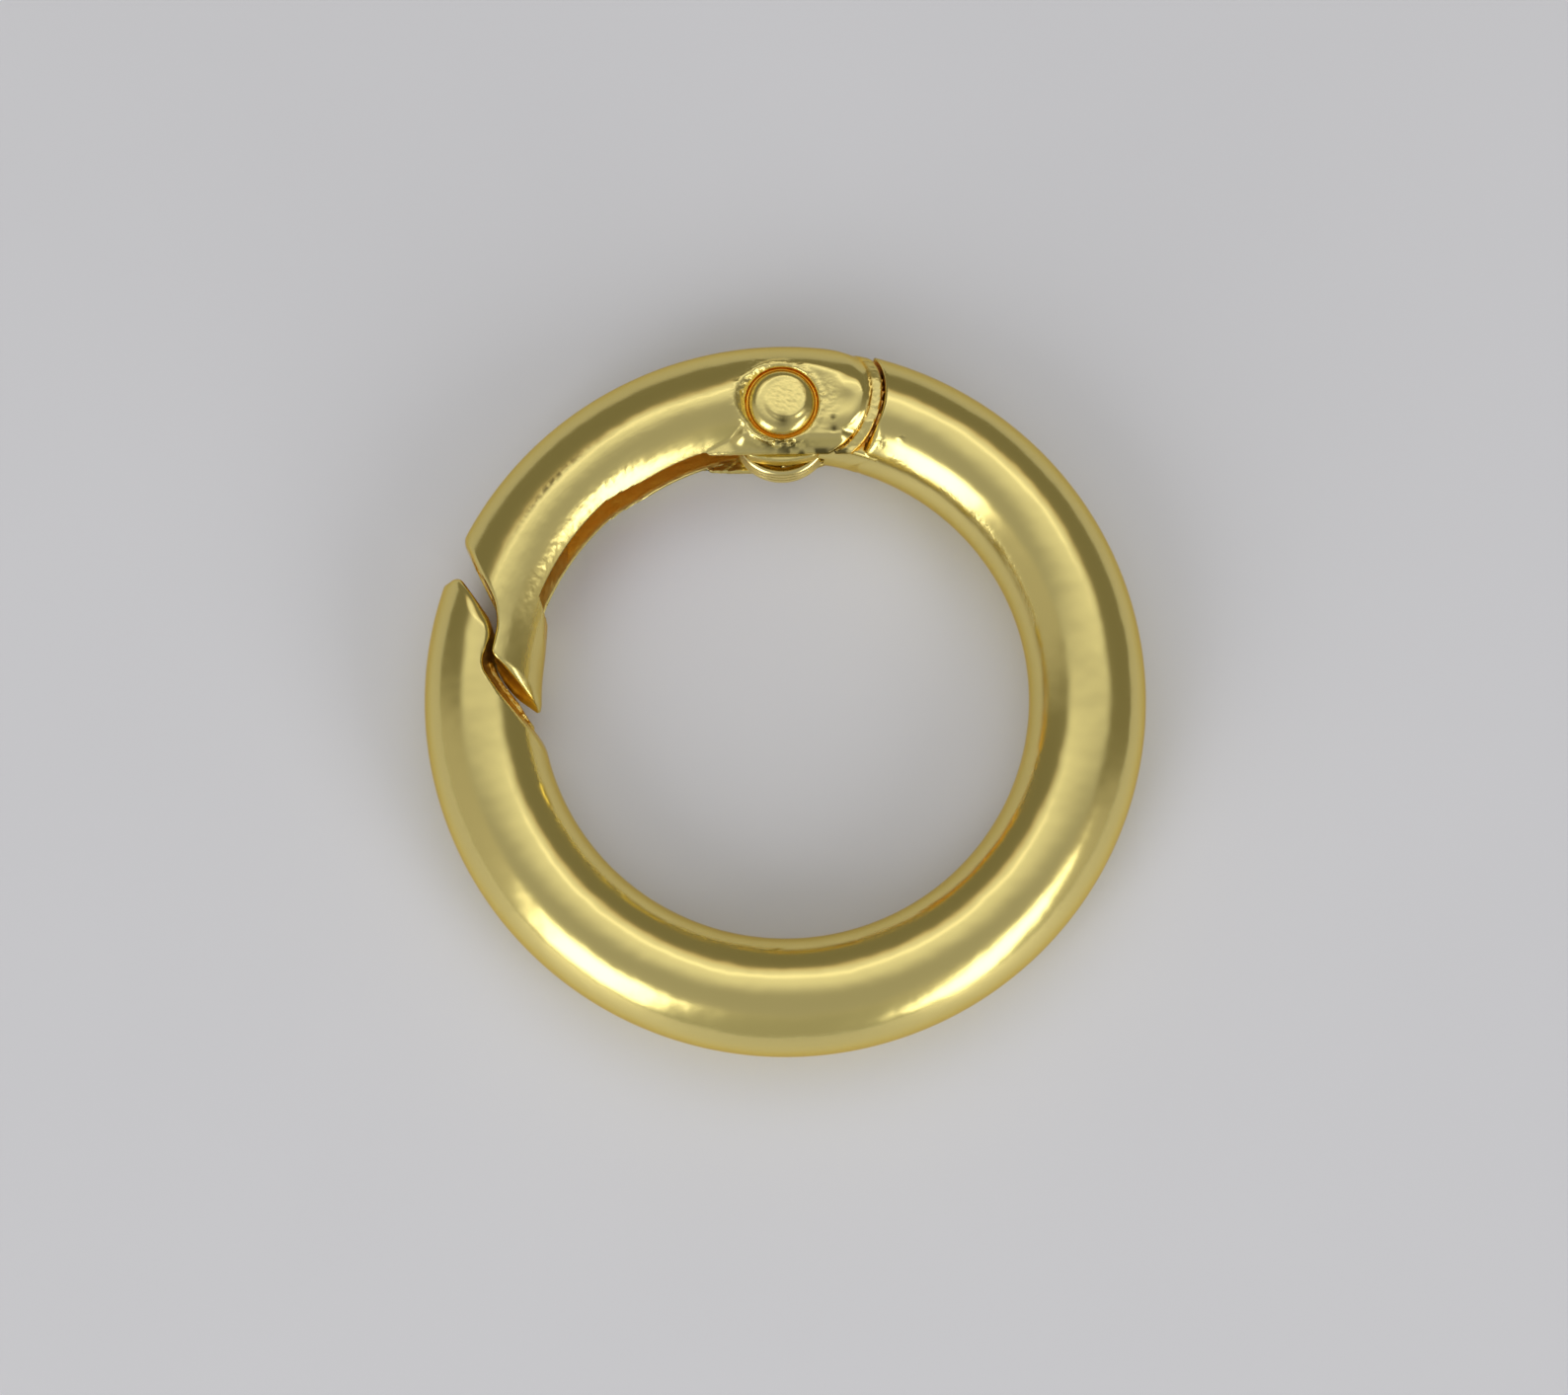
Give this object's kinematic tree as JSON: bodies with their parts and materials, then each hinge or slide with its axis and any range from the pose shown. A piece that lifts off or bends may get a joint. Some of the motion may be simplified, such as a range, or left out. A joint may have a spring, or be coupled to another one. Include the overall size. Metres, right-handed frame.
{
  "type": "spring gate ring",
  "caption": "Round ring of plated metal bar that opens at a hinged gate, held shut by a wire torsion spring, for joining straps, chains or cords.",
  "frame": {"origin": "centre of the ring's eye at mid-thickness, which is the centre of the bounding box", "axes": "+Z along the hinge rivet, square to the ring's plane; +Y from the eye's centre towards the hinge; +X so that the gate lies on the -X side and its nose meets the body at -X"},
  "size_m": [0.0296, 0.0296, 0.0048],
  "materials": {
    "ring_body": "bright gold plating over a polished zinc casting",
    "gate": "bright gold plating over a zinc casting, rough round the rivet and inside the channel",
    "pivot_rivet": "gold plating over a low domed rivet head",
    "torsion_spring": "round spring wire with a gold wash"
  },
  "bodies": {
    "ring_body": {"ring_body": "ring_body", "torsion_spring": "torsion_spring"},
    "gate": {"gate": "gate", "pivot_rivet": "pivot_rivet"}
  },
  "joints": [
    {"name": "gate_pivot", "type": "hinge", "parent": "ring_body", "child": "gate", "pos_m": [-0.00015, 0.01195, 0], "axis": [0, 0, 1], "range_deg": [0, 60], "stiffness_Nm_per_rad": 0.0085, "springref_deg": -40.11, "deforming": ["torsion_spring"]}
  ]
}
